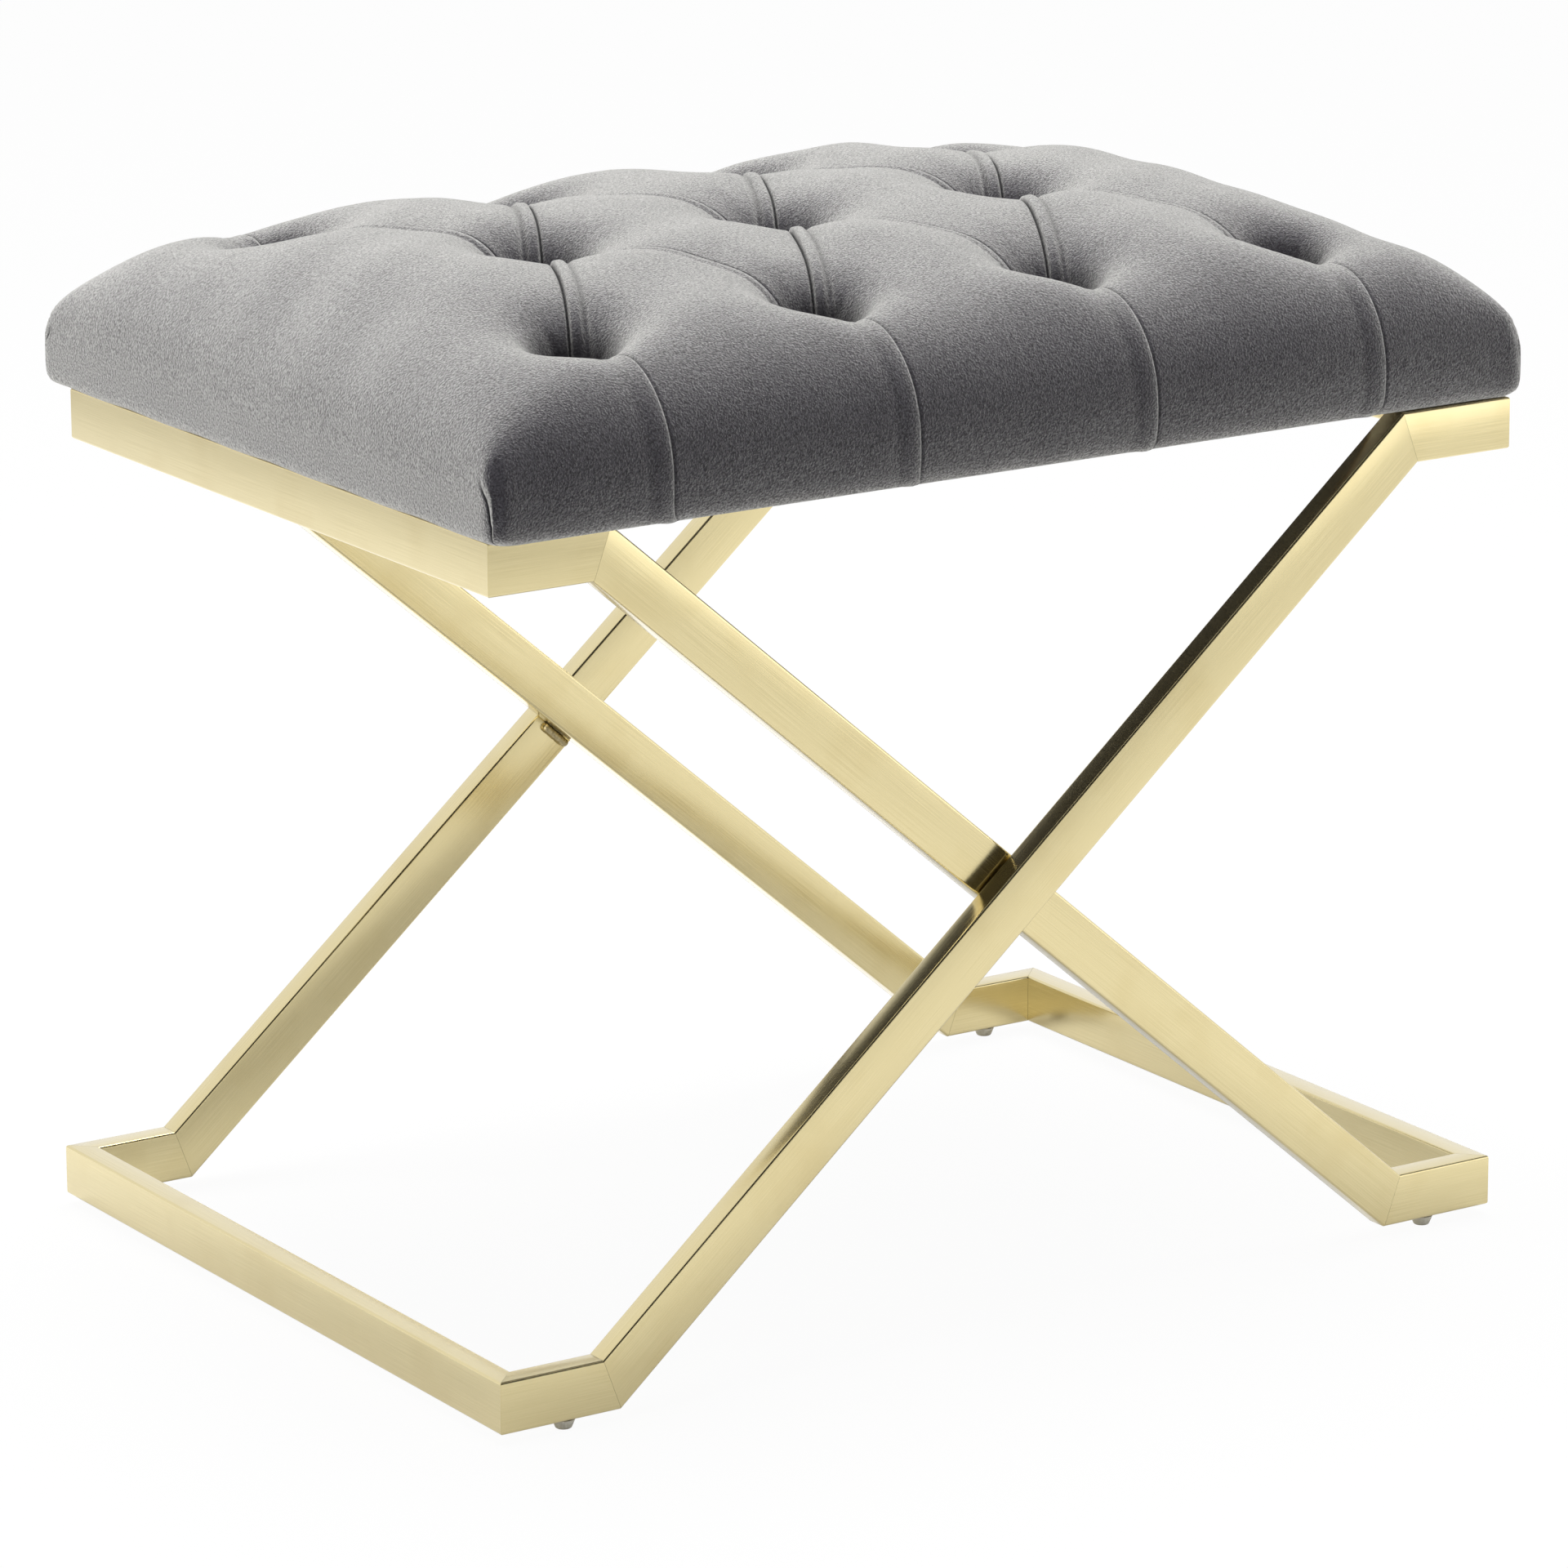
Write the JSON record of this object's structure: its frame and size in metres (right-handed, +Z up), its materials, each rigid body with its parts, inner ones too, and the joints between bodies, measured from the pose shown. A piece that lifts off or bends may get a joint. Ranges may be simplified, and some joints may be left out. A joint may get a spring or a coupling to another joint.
{
  "type": "upholstered bench",
  "caption": "Low bench with a deep-buttoned grey velvet seat on two crossing brass tube frames welded into an X, standing on small floor glides.",
  "frame": {"origin": "on the floor under the middle of the bench", "axes": "+X along the bench towards the outer frame's top end, +Y from the front to the back, +Z up"},
  "size_m": [0.582, 0.429, 0.5147],
  "materials": {
    "brushed_brass": "brushed along each tube, pale champagne gold",
    "weld": "rippled weld bead under the plating",
    "velvet": "short-pile grey velvet with a soft sheen",
    "foam": "upholstery foam",
    "plywood": "unfinished plywood",
    "lining": "black non-woven cloth",
    "twine": "waxed twine",
    "nylon": "translucent white nylon",
    "zinc": "zinc-plated steel"
  },
  "bodies": {
    "root": {"outer_front_leg": "brushed_brass", "outer_back_leg": "brushed_brass", "outer_front_top_stub": "brushed_brass", "outer_back_top_stub": "brushed_brass", "outer_top_rail": "brushed_brass", "outer_front_floor_stub": "brushed_brass", "outer_back_floor_stub": "brushed_brass", "outer_floor_rail": "brushed_brass", "inner_front_leg": "brushed_brass", "inner_back_leg": "brushed_brass", "inner_front_top_stub": "brushed_brass", "inner_back_top_stub": "brushed_brass", "inner_top_rail": "brushed_brass", "inner_front_floor_stub": "brushed_brass", "inner_back_floor_stub": "brushed_brass", "inner_floor_rail": "brushed_brass", "front_crossing_weld": "weld", "back_crossing_weld": "weld", "velvet_cover": "velvet", "tuft_button_front_1": "velvet", "tuft_button_front_2": "velvet", "tuft_button_front_3": "velvet", "tuft_button_front_4": "velvet", "tuft_button_middle_1": "velvet", "tuft_button_middle_2": "velvet", "tuft_button_middle_3": "velvet", "tuft_button_back_1": "velvet", "tuft_button_back_2": "velvet", "tuft_button_back_3": "velvet", "tuft_button_back_4": "velvet", "tuft_tie_front_1": "twine", "tuft_tie_front_2": "twine", "tuft_tie_front_3": "twine", "tuft_tie_front_4": "twine", "tuft_tie_middle_1": "twine", "tuft_tie_middle_2": "twine", "tuft_tie_middle_3": "twine", "tuft_tie_back_1": "twine", "tuft_tie_back_2": "twine", "tuft_tie_back_3": "twine", "tuft_tie_back_4": "twine", "foam_pad": "foam", "seat_board": "plywood", "dust_cover": "lining", "outer_front_glide": "nylon", "outer_back_glide": "nylon", "inner_front_glide": "nylon", "inner_back_glide": "nylon", "seat_screw_front_left": "zinc", "seat_screw_back_left": "zinc", "seat_screw_front_right": "zinc", "seat_screw_back_right": "zinc", "seat_nut_front_left": "zinc", "seat_nut_back_left": "zinc", "seat_nut_front_right": "zinc", "seat_nut_back_right": "zinc"}
  },
  "joints": []
}
